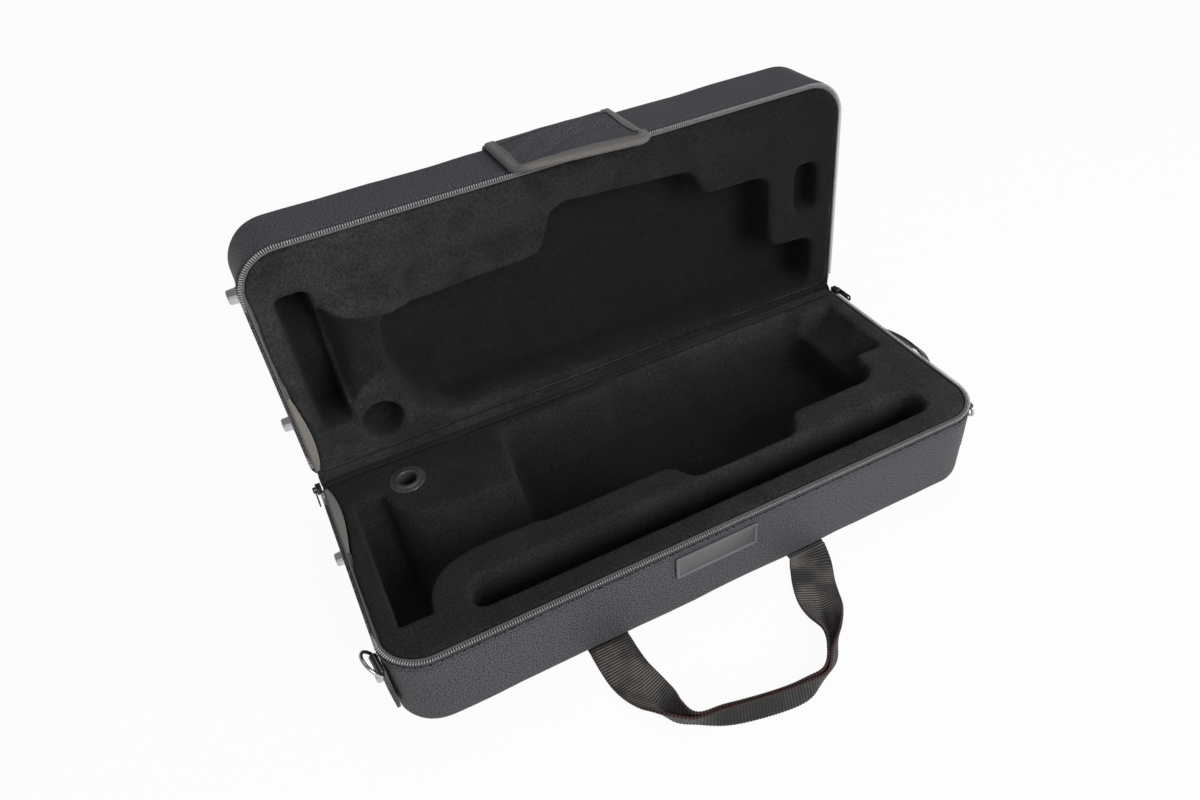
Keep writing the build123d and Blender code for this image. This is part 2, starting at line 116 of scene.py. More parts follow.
class Finish:
    """A material in the making: its Principled shader and what feeds it."""

    def __init__(self, name, **settings):
        self.material = bpy.data.materials.new(name)
        self.material.use_nodes = True
        self.tree = self.material.node_tree
        self.shader = self.tree.nodes["Principled BSDF"]
        self.feed(**settings)

    def feed(self, **settings):
        """Gives sockets of the shader a signal or a fixed value."""
        for name, value in settings.items():
            self.join(self.shader.inputs[name.replace("_", " ")], value)

    def join(self, socket, value):
        """Links a signal to a socket, or sets the socket's value."""
        if isinstance(value, Signal):
            self.tree.links.new(value.socket, socket)
        else:
            socket.default_value = value

    def add(self, kind, settings, inputs, output=0):
        """Adds a node and returns one of its outputs."""
        node = self.tree.nodes.new(kind)
        for name, value in settings.items():
            setattr(node, name, value)
        for name, value in inputs.items():
            self.join(node.inputs[name], value)
        return Signal(self, node.outputs[output])

    def math(self, operation, *terms):
        """Arithmetic on signals and numbers."""
        return self.add("ShaderNodeMath", {"operation": operation}, dict(enumerate(terms)))

    def clamp(self, signal, low=0.0):
        """A signal kept between low and 1."""
        return self.math("MINIMUM", self.math("MAXIMUM", signal, low), 1.0)

    def place(self, output="Object"):
        """The case's own coordinates, or the flat map of a cloth."""
        return self.add("ShaderNodeTexCoord", {}, {}, output)

    def axis(self, place, index):
        """One coordinate of a place."""
        return self.add("ShaderNodeSeparateXYZ", {}, {"Vector": place}, index)

    def noise(self, place, size, detail=2.0, roughness=0.5):
        """Noise from 0 to 1 whose blotches are about size metres across."""
        inputs = {"Vector": place, "Scale": 1 / size, "Detail": detail, "Roughness": roughness}
        return self.add("ShaderNodeTexNoise", {}, inputs)

    def ramp(self, signal, low, high):
        """A signal spread out, so that low becomes black and high becomes white."""
        spread = self.add("ShaderNodeValToRGB", {}, {"Fac": signal})
        dark, light = spread.socket.node.color_ramp.elements
        dark.position = low
        light.position = high
        return spread

    def mix(self, amount, first, second):
        """A colour between two others."""
        inputs = {0: amount, 6: colour(first), 7: colour(second)}
        return self.add("ShaderNodeMix", {"data_type": "RGBA"}, inputs, 2)

    def bump(self, height, depth):
        """Normal for a height from 0 to 1 that stands depth metres proud."""
        inputs = {"Height": height, "Distance": depth, "Strength": 1.0}
        self.feed(Normal=self.add("ShaderNodeBump", {}, inputs))


def colour(value):
    """Red, green and blue as an opaque colour; a signal stays as it is."""
    return (*value, 1) if isinstance(value, tuple) else value


table_radius, table_glow = 14, 0.95
table = bpy.data.meshes.new("table")
mesh = bmesh.new()
bmesh.ops.create_circle(mesh, cap_ends=True, radius=table_radius, segments=64)
mesh.to_mesh(table)
mesh.free()
table_top = bpy.data.objects.new("table", table)
bpy.context.scene.collection.objects.link(table_top)
white = Finish("table_white", Base_Color=(0.86, 0.86, 0.86, 1), Roughness=0.9)
seen = white.add("ShaderNodeLightPath", {}, {}, "Is Camera Ray")
mirrored = white.add("ShaderNodeLightPath", {}, {}, "Is Glossy Ray")
glow = white.add("ShaderNodeEmission", {}, {"Color": (1, 1, 1, 1), "Strength": 1.0})
plain = Signal(white, white.shader.outputs[0])
blended = white.add("ShaderNodeMixShader", {}, {0: (seen + mirrored) * table_glow, 1: plain, 2: glow})
white.join(white.tree.nodes["Material Output"].inputs["Surface"], blended)
table_top.data.materials.append(white.material)

room_light = 0.30
room = bpy.data.worlds.new("room")
room.use_nodes = True
bpy.context.scene.world = room
sky = room.node_tree.nodes["Background"]
sky.inputs["Color"].default_value = (1, 1, 1, 1)
rays = room.node_tree.nodes.new("ShaderNodeLightPath")
sky_level = room.node_tree.nodes.new("ShaderNodeMapRange")
sky_level.inputs["To Min"].default_value = room_light
sky_level.inputs["To Max"].default_value = 1.0
room.node_tree.links.new(rays.outputs["Is Camera Ray"], sky_level.inputs["Value"])
room.node_tree.links.new(sky_level.outputs[0], sky.inputs["Strength"])


# Cover: blue-black woven nylon over thin foam, sewn as two open tubs. The cloth is turned in
# at the rim over the zip's tape, and stands up over the zip along the left end.
length, width, base_height, lid_height = 0.580, 0.235, 0.088, 0.070
front_corner, rear_corner, edge_round = 0.040, 0.014, 0.008
webbing, cloth, cover_gap = 0.0024, 0.0012, 0.007
tuck_front, tuck_back, tuck_fade, tuck_wide = -0.078, 0.097, 0.012, 0.03
tilt = math.radians(2)
hinge = Vector((0, width / 2, base_height))
to_hinge = Matrix.Translation(hinge)
lid_turn = to_hinge @ Matrix.Rotation(-math.pi / 2 - tilt, 4, "X") @ to_hinge.inverted()
lid_flip = Matrix.Translation((0, 0, base_height + lid_height)) @ Matrix.Diagonal((1, 1, -1, 1))
open_lid = lid_turn @ lid_flip
on_base = Matrix.Translation((0, 0, webbing))


def unit(value):
    """A value kept between 0 and 1."""
    return max(0.0, min(1.0, value))


def round_edges(mesh, edges, radius, segments=1, clamp=False):
    """Rounds edges of a mesh; with a single segment it only takes their corners off."""
    bmesh.ops.bevel(
        mesh, geom=edges, offset=radius, segments=segments, profile=0.5, affect="EDGES",
        material=-1, clamp_overlap=clamp,
    )


def tub(high):
    """Block of the case's outline that stands at zero, with its bottom edge rounded."""
    mesh = bmesh.new()
    bmesh.ops.create_cube(mesh, size=1)
    bmesh.ops.scale(mesh, vec=(length, width, high), verts=mesh.verts)
    bmesh.ops.translate(mesh, vec=(0, 0, high / 2), verts=mesh.verts)
    for side, radius in ((-1, front_corner), (1, rear_corner)):
        upright = [
            rib for rib in mesh.edges
            if all(vert.co.y * side > width * 0.49 for vert in rib.verts)
            and abs(rib.verts[0].co.z - rib.verts[1].co.z) > high * 0.9
        ]
        round_edges(mesh, upright, radius, 14)
    foot = [rib for rib in mesh.edges if all(vert.co.z < 1e-6 for vert in rib.verts)]
    round_edges(mesh, foot, edge_round, 6)
    return mesh


def slice_mesh(mesh, step):
    """Cuts a mesh by planes a step apart, so that its points can be moved."""
    for index in range(3):
        places = [vert.co[index] for vert in mesh.verts]
        low, high = min(places), max(places)
        count = max(1, round((high - low) / step))
        normal = Vector([1 if i == index else 0 for i in range(3)])
        for cut in range(1, count):
            bmesh.ops.bisect_plane(
                mesh, geom=mesh.verts[:] + mesh.edges[:] + mesh.faces[:],
                plane_co=normal * (low + (high - low) * cut / count), plane_no=normal,
            )


def uneven(co, *swells):
    """Height of a soft surface at a point, from noises given by their width and rise."""
    return sum(noise.noise(co / wide) * rise for wide, rise in swells)


def cloth_uv(mesh):
    """Flat map in metres, taken square on to each face, for woven patterns."""
    mesh.normal_update()
    layer = mesh.loops.layers.uv.verify()
    for face in mesh.faces:
        steep = [abs(part) for part in face.normal]
        away = steep.index(max(steep))
        kept = [i for i in range(3) if i != away]
        for loop in face.loops:
            loop[layer].uv = (loop.vert.co[kept[0]], loop.vert.co[kept[1]])


def piece(name, mesh, finish, body, slot, *replaced):
    """Turns a finished mesh into a piece of the case, which rides on a body if one is named."""
    data = bpy.data.meshes.new(name)
    mesh.to_mesh(data)
    mesh.free()
    data.shade_smooth()
    shape = bpy.data.objects.new(name, data)
    bpy.context.scene.collection.objects.link(shape)
    data.materials.append(finish.material)
    if body:
        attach(shape, body)
    if replaced:
        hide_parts(*replaced)
    return shape


def thicken(shape, thickness, offset=-1.0):
    """Gives a sheet of cloth or webbing its thickness, with softened edges."""
    wall = shape.modifiers.new("wall", "SOLIDIFY")
    wall.thickness = thickness
    wall.offset = offset
    wall.use_even_offset = False
    turned_edge = shape.modifiers.new("turned edge", "BEVEL")
    turned_edge.width = thickness * 0.32
    turned_edge.segments = 2
    turned_edge.angle_limit = math.radians(50)
    return shape


thread_pitch = 0.0013
nylon = Finish("woven_nylon", Roughness=0.62, Specular_IOR_Level=0.22)
nylon.feed(Sheen_Weight=0.03, Sheen_Roughness=0.4)
weave_at = nylon.place("UV")
warp = nylon.axis(weave_at, 0).wave(thread_pitch)
fill = nylon.axis(weave_at, 1).wave(thread_pitch)
threads = warp * fill + (1 - warp) * (1 - fill)
speck = nylon.ramp(nylon.noise(weave_at, 0.0010, 1.0), 0.40, 0.60)
tone = nylon.noise(nylon.place(), 0.09, 3.0)
nylon_light = nylon.mix(speck, (0.008, 0.008, 0.012), (0.140, 0.140, 0.149))
nylon_dark = nylon.mix(speck, (0.006, 0.006, 0.010), (0.110, 0.110, 0.120))
nylon.feed(Base_Color=nylon.mix(tone, nylon_dark, nylon_light))
nylon.bump(threads * 0.5 + speck * 0.4, 0.00016)


def tucked(co):
    """1 along the left end, where the cloth stands up over the zip, and 0 elsewhere."""
    if co.x > tuck_wide - length / 2:
        return 0.0
    return unit(min(tuck_back - co.y, co.y - tuck_front) / tuck_fade)


def cover(name, height, place, body, node, seed):
    """Outer skin of one half, a little uneven over its foam and firm near the rim."""
    rim = height - cover_gap
    firm, give = 0.005, 0.012
    mesh = tub(rim)
    mouth = [face for face in mesh.faces if all(vert.co.z > rim - 1e-6 for vert in face.verts)]
    bmesh.ops.delete(mesh, geom=mouth, context="FACES_ONLY")
    slice_mesh(mesh, 0.011)
    mesh.normal_update()
    for vert in mesh.verts:
        soft = uneven(vert.co + Vector((seed, 0, 0)), (0.07, 0.0009), (0.022, 0.00035)) - 0.0004
        if vert.co.z > rim - 1e-5:
            vert.co.z += (cover_gap - cloth) * tucked(vert.co)
        vert.co += vert.normal * (soft * unit((rim - vert.co.z - firm) / give))
    cloth_uv(mesh)
    bmesh.ops.transform(mesh, matrix=place, verts=mesh.verts)
    if place.determinant() < 0:
        bmesh.ops.reverse_faces(mesh, faces=mesh.faces)
    thicken(piece(name, mesh, nylon, body, "outer_nylon", node), cloth)


cover("cover_base", base_height - webbing, on_base, "base", "base_cover", 0.0)
cover("cover_lid", lid_height, open_lid, "lid", "lid_cover", 3.0)


# Boards: stiff grey-brown fibre board between cover and padding. Only its cut edge shows, as
# a pale line round the padding. The two boards keep the shape of the frame's solids.
board = Finish("fibre_board", Roughness=0.85)
board_at = board.place()
fleck = board.noise(board_at, 0.002, 4.0, 0.7)
stain = board.noise(board_at, 0.03, 2.0)
flecked = board.mix(fleck, (0.085, 0.079, 0.072), (0.176, 0.165, 0.150))
board.feed(Base_Color=board.mix(stain, flecked, (0.130, 0.121, 0.110)))
board.bump(fleck, 0.0003)
for name in ("base_core", "lid_core"):
    nodes[name].data.materials.clear()
    nodes[name].data.materials.append(board.material)


# Padding: a foam moulding in each half, pressed to the trumpet's shape and covered with short
# black plush glued down over every edge, so that the mouths of the hollows are soft. Its colour
# holds painted light: a painted sheen makes it paler on the right of the base and the left of
# the lid, painted shade darkens it deep in the hollows, and the lid's plush is painted darker.
base_face, lid_face, hollow = 0.085, 0.119, 0.03
plush = Finish("short_plush", Roughness=0.95, Sheen_Weight=0.05, Sheen_Roughness=0.5)
plush.feed(Sheen_Tint=(0.8, 0.82, 0.82, 1), Specular_IOR_Level=0.1)
plush_at = plush.place()
pile = plush.ramp(plush.noise(plush_at, 0.0019, 3.0, 0.8), 0.28, 0.72)
tuft = plush.noise(plush_at, 0.006, 3.0, 0.65)
brushed = plush.ramp(plush.noise(plush_at, 0.034, 3.0, 0.55), 0.40, 0.60)
plush_x, plush_y, plush_z = (plush.axis(plush_at, index) for index in range(3))
in_lid = plush.math("GREATER_THAN", plush_z, base_height)
# Painted sheen: a gradient along x paints the plush paler towards the right of the base and the left of the
# lid.
painted_sheen = plush.clamp(plush_x * (0.5 - in_lid) * 3.4 + 0.5, 0.34 - in_lid * 0.31)
# Painted shade: the plush is painted darker the deeper it lies below the padding's face, fully so at the
# depth of hollow.
base_depth = base_face - plush_z
lid_depth = plush_y - (plush_z - base_height) * math.tan(tilt) - lid_face
painted_hollow_shade = plush.clamp((base_depth + in_lid * (lid_depth - base_depth)) * (1 / hollow))
painted_light_share = painted_sheen * (brushed * 0.45 + 0.55) * (1 - painted_hollow_shade * 0.8)
# Painted light and shade: the first colour lies under the painted shade and is painted darker in the lid
# than in the base, the second under the painted sheen.
plush_shaded = plush.mix(pile * (1 - in_lid * 0.55), (0.0042, 0.0043, 0.0043), (0.0270, 0.0274, 0.0272))
plush_lit = plush.mix(pile, (0.010, 0.0104, 0.0102), (0.072, 0.0735, 0.073))
plush.feed(Base_Color=plush.mix(painted_light_share, plush_shaded, plush_lit))
plush.bump(pile * 0.5 + tuft * 0.7, 0.0010)

wall, wall_give = 0.006, 0.018
bare_from, bare_long, bare_most = 0.110, 0.088, 0.0054


def bare_width(reach):
    """How far the plush stands back from the left wall, a distance in front of the hinge."""
    return bare_most * math.sin(math.pi * unit(reach / bare_long) ** 0.8)


def settle(shape):
    """Fixes in a piece's mesh what its modifiers do."""
    bpy.context.view_layer.update()
    ready = bpy.data.meshes.new_from_object(shape.evaluated_get(bpy.context.evaluated_depsgraph_get()))
    shape.modifiers.clear()
    shape.data = ready


def moulding(name, node, body, place, seed):
    """A padding moulding with rounded edges and the slight unevenness of glued plush."""
    mesh = bmesh.new()
    mesh.from_mesh(nodes[node].data)
    bmesh.ops.remove_doubles(mesh, verts=mesh.verts, dist=1e-6)
    shape = piece(name, mesh, plush, None, "plush")
    voxels = shape.modifiers.new("voxels", "REMESH")
    voxels.mode = "VOXEL"
    voxels.voxel_size = 0.0027
    soft = shape.modifiers.new("soft", "SMOOTH")
    soft.factor = 0.5
    soft.iterations = 6
    settle(shape)
    mesh = bmesh.new()
    mesh.from_mesh(shape.data)
    mesh.normal_update()
    for vert in mesh.verts:
        vert.co += vert.normal * uneven(vert.co + Vector((0, seed, 0)), (0.03, 0.0006), (0.009, 0.0003))
        local = place.inverted() @ vert.co
        near_wall = unit(1 - (local.x + length / 2 - wall) / wall_give)
        vert.co.x += bare_width(bare_from - local.y) * near_wall
    mesh.to_mesh(shape.data)
    mesh.free()
    shape.data.shade_smooth()
    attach(shape, body)
    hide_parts(node)


moulding("padding_base", "base_insert", "base", Matrix(), 0.0)
moulding("padding_lid", "lid_insert", "lid", open_lid, 5.0)


# Board flaps: at the left of the hinge the padding stands back, and the pale cloth that backs
# its edge shows as a narrow leaf in each half, from the wall's edge down to the plush.
def strip(name, long, wide, thick, put, finish, body, slot, *replaced,
          rib=0.0, rise=0.0, rows=None, columns=8):
    """A strap or band: put(s, w) gives the point s along it and w across it."""
    mesh = bmesh.new()
    rows = rows or max(2, round(long / rib * 4))
    bmesh.ops.create_grid(mesh, x_segments=rows, y_segments=columns, size=0.5)
    layer = mesh.loops.layers.uv.verify()
    for face in mesh.faces:
        for loop in face.loops:
            loop[layer].uv = ((loop.vert.co.x + 0.5) * long, loop.vert.co.y * wide)
    ways = [(vert, (vert.co.x + 0.5) * long, vert.co.y * wide) for vert in mesh.verts]
    for vert, s, w in ways:
        vert.co = put(s, w)
    if rise:
        mesh.normal_update()
        for vert, s, w in ways:
            vert.co += vert.normal * (rise * math.sin(s / rib * 2 * math.pi))
    return thicken(piece(name, mesh, finish, body, slot, *replaced), thick, 0.0)


backing = Finish("backing_cloth", Roughness=0.9)
backing_weave = backing.noise(backing.place(), 0.0012, 3.0, 0.7)
backing.feed(Base_Color=backing.mix(backing_weave, (0.140, 0.130, 0.120), (0.310, 0.292, 0.270)))
backing.bump(backing_weave, 0.0003)

flap_edge, flap_under, flap_wide = 0.0044, 0.0024, 0.01
flap_top, flap_fall = 0.0022, 0.0016


def flap(side, height, place):
    """Leaf of backing cloth along the left wall, drawn in to the width that the plush leaves bare."""
    def put(s, w):
        out = 0.5 + w / flap_wide
        x = flap_edge - length / 2 + (bare_width(s) + flap_under) * out
        return place @ Vector((x, bare_from - s, height - flap_top - flap_fall * out))

    strip(side + "_flap", bare_long, flap_wide, 0.0006, put, backing, side, "board", rows=60)


flap("base", base_height, Matrix())
flap("lid", lid_height, open_lid)


# Zip: a tape sewn inside the rim and a coil of stiff nylon along its edge, in two halves that
# run round the front and both ends. The coil's loops stand one by one, and catch the light.
tape = Finish("zip_tape", Roughness=0.7, Sheen_Weight=0.1)
tape_rib = tape.axis(tape.place("UV"), 0).wave(0.0012)
tape.feed(Base_Color=tape.mix(tape_rib, (0.022, 0.022, 0.026), (0.055, 0.055, 0.061)))
tape.bump(tape_rib, 0.00025)

coil_nylon = Finish("coil_nylon", Roughness=0.2, Coat_Weight=0.8)
coil_tone = coil_nylon.noise(coil_nylon.place(), 0.004, 2.0)
coil_nylon.feed(Base_Color=coil_nylon.mix(coil_tone, (0.22, 0.22, 0.232), (0.42, 0.42, 0.435)))

tape_top, tape_foot, tape_inset, tape_tuck = 0.0028, 0.012, 0.0017, 0.0026
coil_top, coil_pitch, coil_inset, coil_tuck = 0.0016, 0.0021, 0.0015, 0.0034
coil_thick, coil_wide = 0.00124, 0.0032
zip_back, lid_zip_short = width / 2 - rear_corner, 0.002


def rim_length(inset, back):
    """Length of the rim's U, from the left end's back round the front to the right end's."""
    radius = front_corner - inset
    end_run = back + width / 2 - inset - radius
    return 2 * end_run + math.pi * radius + 2 * (length / 2 - inset - radius)


def rim_point(distance, inset, back):
    """Point and heading along the rim's U. Its right half mirrors the left one."""
    rest = rim_length(inset, back) - distance
    if rest < distance:
        spot, way = rim_point(rest, inset, back)
        return Vector((-spot.x, spot.y, 0)), Vector((way.x, -way.y, 0))
    radius = front_corner - inset
    centre = Vector((front_corner - length / 2, front_corner - width / 2, 0))
    turn = (distance - (back - centre.y)) / radius
    if turn < 0:
        return Vector((centre.x - radius, back - distance, 0)), Vector((0, -1, 0))
    if turn < math.pi / 2:
        outward = Vector((-math.cos(turn), -math.sin(turn), 0))
        return centre + outward * radius, Vector((math.sin(turn), -math.cos(turn), 0))
    return centre + Vector(((turn - math.pi / 2) * radius, -radius, 0)), Vector((1, 0, 0))


def sharp_edges(mesh, angle):
    """Edges between two faces that meet at more than an angle."""
    return [rib for rib in mesh.edges if len(rib.link_faces) == 2 and rib.calc_face_angle() > angle]


def zip_half(side, height, place, back):
    """Tape and coil of one half's zip."""
    def put_tape(s, w):
        spot, way = rim_point(s, tape_inset, back)
        spot.z = height - (tape_top + tape_foot) / 2 + w - tape_tuck * tucked(spot)
        return place @ spot

    strip(
        side + "_tape", rim_length(tape_inset, back), tape_foot - tape_top, 0.0009, put_tape, tape,
        side, "zip_tape", side + "_zip_tape", rows=420, columns=6,
    )
    mesh = bmesh.new()
    up = Vector((0, 0, 1))
    for count in range(int(rim_length(coil_inset, back) / coil_pitch)):
        spot, way = rim_point((count + 0.5) * coil_pitch, coil_inset, back)
        lie = Matrix((way, up, up.cross(way))).transposed().to_4x4()
        lie.translation = spot + up * (height - coil_top - coil_tuck * tucked(spot))
        bmesh.ops.create_cone(
            mesh, cap_ends=True, segments=8, radius1=coil_thick / 2, radius2=coil_thick / 2,
            depth=coil_wide, matrix=place @ lie @ Matrix.Diagonal((1, 1.35, 1, 1)),
        )
    if place.determinant() < 0:
        bmesh.ops.reverse_faces(mesh, faces=mesh.faces)
    round_edges(mesh, sharp_edges(mesh, 1.2), 0.0003)
    piece(side + "_coil", mesh, coil_nylon, side, "zip_coil", side + "_zip_coil")


zip_half("base", base_height, Matrix(), zip_back)
zip_half("lid", lid_height, open_lid, zip_back - lid_zip_short)


# Stitches: a row of dark thread under the rim of each cover holds the zip's tape. Others are
# sewn in a box through each ring tab and along the wrap's binding.
thread = Finish("thread", Roughness=0.6)
twist = thread.noise(thread.place(), 0.0008, 1.0)
thread.feed(Base_Color=thread.mix(twist, (0.03, 0.03, 0.035), (0.09, 0.09, 0.098)))
stitch, thread_thick = 0.0036, 0.00068


def sew(name, stitches, body, slot, pitch=stitch):
    """Short stitches, each given by its middle and the way it runs."""
    mesh = bmesh.new()
    for spot, way in stitches:
        lie = way.to_track_quat("Z", "X").to_matrix().to_4x4()
        lie.translation = spot
        bmesh.ops.create_cone(
            mesh, cap_ends=True, segments=6, radius1=thread_thick / 2, radius2=thread_thick / 2,
            depth=pitch * 0.72, matrix=lie,
        )
    round_edges(mesh, sharp_edges(mesh, 1.2), 0.0002)
    piece(name, mesh, thread, body, slot)


def rim_seam(side, height, place):
    """The row of stitches that holds the zip's tape in the rim of a cover."""
    proud, below, stitches = 0.0001, 0.0034, []
    for count in range(int(rim_length(-proud, zip_back) / stitch)):
        spot, way = rim_point((count + 0.5) * stitch, -proud, zip_back)
        spot.z = height - cover_gap - below
        stitches.append((place @ spot, place.to_3x3() @ way))
    sew(side + "_seam", stitches, side, "outer_nylon")


rim_seam("base", base_height, Matrix())
rim_seam("lid", lid_height, open_lid)


# Fold: a strip of the cover's nylon along the back joins the halves as their hinge, and a
# strip of plush inside covers the back edges of both boards.
fold_long, fold_reach = 0.572, 0.002
cloth_out, lining_in, lining_under = 0.0006, 0.00195, 0.0019


def bend_across(shape, start, end):
    """Fixes a strip's thickness and its place in its mesh."""
    settle(shape)
    tuple(start)
    tuple(end)
    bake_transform(shape)


def bent(name, node, finish, slot, thick, low, high, bend, lower, corner, upper):
    """Strip along the fold, from w = low on the lower line, round a bend, to high on the upper."""
    def put(s, w):
        w += (low + high) / 2
        past = max(0.0, abs(s - fold_long / 2) - (length / 2 - rear_corner))
        tuck = rear_corner - math.sqrt(rear_corner ** 2 - past ** 2)
        t = unit((w + bend) / (2 * bend))
        if w < -bend:
            spot = lower(w)
        elif w > bend:
            spot = upper(w)
        else:
            spot = lower(-bend) * (1 - t) ** 2 + Vector(corner) * (2 * t * (1 - t)) + upper(bend) * t ** 2
        return hinge + Vector((s - fold_long / 2, spot.x - tuck * (1 - t), spot.y + tuck * t))

    shape = strip(name, fold_long, high - low, thick, put, finish, None, slot, node, rows=90, columns=28)
    start, end = (hinge + Vector((0, way, way - 0.0005)) for way in (-fold_reach, fold_reach))
    bend_across(shape, start, end)


bent(
    "fold_cloth", "hinge_cloth", nylon, "outer_nylon", 0.0011, -0.026, 0.026, 0.002,
    lambda w: Vector((cloth_out, w)), (cloth_out, -cloth_out),
    lambda w: Vector((math.cos(tilt) * w, -cloth_out - math.sin(tilt) * w)),
)
bent(
    "fold_lining", "hinge_lining", plush, "plush", 0.0026, -0.00905, 0.009, 0.0025,
    lambda w: Vector((lining_in + w, -lining_under)), (0.0, 0.0),
    lambda w: Vector((lining_in + math.sin(tilt) * w, -lining_under + w)),
)


# Holder: a glossy black bush for a spare mouthpiece, turned with a broad flange and a rolled
# lip, and pressed into the padding behind the bell. The profile is radius and height in mm.
gloss = Finish("gloss_plastic", Coat_Weight=0.8)
scratch = gloss.noise(gloss.place(), 0.006, 3.0)
gloss.feed(Base_Color=gloss.mix(scratch, (0.040, 0.040, 0.040), (0.085, 0.085, 0.084)))
gloss.feed(Roughness=scratch * 0.15 + 0.16)

holder_place = Matrix.Translation((-0.214, 0.078, 0.0873))
bush = [
    (17, -0.2), (17, 0.25), (16.8, 0.5), (16.4, 0.65), (13.6, 0.8), (12.7, 0.9), (12.3, 1.15),
    (11.9, 1.55), (11.5, 1.75), (10.6, 1.85), (9.3, 1.8), (8.8, 1.6), (8.55, 1.2), (8.5, 0.6),
    (8.5, -31.8), (8.7, -32), (10.3, -32), (10.5, -31.8), (10.5, -0.2),
]


def turned(name, profile, place, finish, body, slot, *replaced):
    """A turned part from a closed profile of radius and height in millimetres."""
    mesh = bmesh.new()
    ring = [mesh.verts.new((radius / 1000, 0, rise / 1000)) for radius, rise in profile]
    off_axis = [index for index in range(len(ring)) if profile[index - 1][0] or profile[index][0]]
    ribs = [mesh.edges.new((ring[index - 1], ring[index])) for index in off_axis]
    bmesh.ops.spin(
        mesh, geom=ring + ribs, cent=(0, 0, 0), axis=(0, 0, 1), dvec=(0, 0, 0),
        angle=2 * math.pi, steps=64,
    )
    bmesh.ops.remove_doubles(mesh, verts=mesh.verts, dist=1e-6)
    bmesh.ops.recalc_face_normals(mesh, faces=mesh.faces)
    bmesh.ops.transform(mesh, matrix=place, verts=mesh.verts)
    piece(name, mesh, finish, body, slot, *replaced)


turned("holder", bush, holder_place, gloss, "base", "black_plastic", "mouthpiece_holder")


# Fittings: most keep the shape they were drawn with, and their sharp edges are rounded to
# catch the light. The badge on the front is a bare satin plate whose raised border is painted
# paler, as a painted highlight, and whose sunk field is painted darker, as painted shade.
def dressed(node, finish, body, slot, rounding):
    """A fitting of the frame with its sharp edges rounded."""
    mesh = bmesh.new()
    mesh.from_mesh(nodes[node].data)
    bmesh.ops.remove_doubles(mesh, verts=mesh.verts, dist=1e-6)
    bmesh.ops.dissolve_limit(mesh, angle_limit=math.radians(1), verts=mesh.verts, edges=mesh.edges)
    round_edges(mesh, sharp_edges(mesh, 0.6), rounding, 2, True)
    bmesh.ops.recalc_face_normals(mesh, faces=mesh.faces)
    cloth_uv(mesh)
    piece("dressed_" + node, mesh, finish, body, slot, node)


badge_x, badge_z, field_long, field_high = -0.005, 0.0625, 0.0744, 0.0194
satin = Finish("satin_plastic", Coat_Weight=0.15)
satin_at = satin.place()
haze = satin.noise(satin_at, 0.012, 3.0)
off_x = satin.math("ABSOLUTE", satin.axis(satin_at, 0) - badge_x)
off_z = satin.math("ABSOLUTE", satin.axis(satin_at, 2) - badge_z)
in_long = satin.math("LESS_THAN", off_x, field_long / 2)
in_high = satin.math("LESS_THAN", off_z, field_high / 2)
# Painted shade in the badge's sunk field, and a painted highlight on its raised border.
shaded_field = satin.mix(haze, (0.040, 0.040, 0.044), (0.066, 0.066, 0.072))
satin.feed(Base_Color=satin.mix(in_long * in_high, (0.105, 0.105, 0.112), shaded_field))
satin.feed(Roughness=haze * 0.2 + 0.30)
dressed("badge_plate", satin, "base", "badge", 0.0004)

# Feet and rings: chromed steel. Stood on its end, the case rests on the four feet of its left
# end, each a low turned barrel. The D rings turn in tabs at the front corners.
chrome = Finish("chrome", Metallic=1.0)
smear = chrome.noise(chrome.place(), 0.008, 3.0)
chrome.feed(Base_Color=chrome.mix(smear, (0.40, 0.40, 0.42), (0.62, 0.62, 0.63)))
chrome.feed(Roughness=smear * 0.15 + 0.08)
foot_apart = 0.069
foot = [
    (0, 0), (6.9, 0), (7.0, 0.5), (6.8, 1.4), (6.7, 2.4), (6.4, 7.4), (6.1, 8.3), (5.4, 8.9),
    (4.6, 9.1), (3.2, 9.0), (0, 8.9),
]
for body, foot_high, place in (("base", 0.031, on_base), ("lid", 0.035, open_lid)):
    for side, y, node in (("front", -foot_apart, (body + "_end_feet",)), ("rear", foot_apart, ())):
        sideways = Matrix.Rotation(-math.pi / 2, 4, "Y")
        stand = place @ Matrix.Translation((-length / 2, y, foot_high)) @ sideways
        turned(body + "_" + side + "_foot", foot, stand, chrome, body, "chrome_metal", *node)
for side in ("left", "right"):
    dressed(side + "_d_ring", chrome, side + "_ring", "chrome_metal", 0.0002)

# Rivets: bright steel, with washers inside the boards. They clamp the feet and the ends of the
# right end's handle through cover and board.
steel = Finish("rivet_steel", Metallic=1.0)
wear = steel.noise(steel.place(), 0.003, 3.0)
steel.feed(Base_Color=steel.mix(wear, (0.36, 0.36, 0.37), (0.58, 0.58, 0.59)))
steel.feed(Roughness=wear * 0.25 + 0.25)
dressed("base_foot_rivets", steel, "base", "rivet_steel", 0.0002)
dressed("lid_foot_rivets", steel, "lid", "rivet_steel", 0.0002)
dressed("grab_handle_rivets", steel, "base", "rivet_steel", 0.0003)

# Sliders and pulls: cast metal in black enamel, chipped to the bare metal in a few places. The
# zip has a slider at each end, and its pull turns on it.
enamel = Finish("black_enamel", Coat_Weight=0.2)
chip = enamel.ramp(enamel.noise(enamel.place(), 0.0022, 4.0, 0.7), 0.58, 0.66)
enamel.feed(Base_Color=enamel.mix(chip, (0.016, 0.016, 0.018), (0.20, 0.20, 0.20)))
enamel.feed(Metallic=chip * 0.8, Roughness=chip * 0.1 + 0.3)
for side in ("left", "right"):
    dressed(side + "_zip_slider", enamel, "base", "slider_metal", 0.0003)
    dressed(side + "_zip_pull", enamel, side + "_pull", "slider_metal", 0.0003)


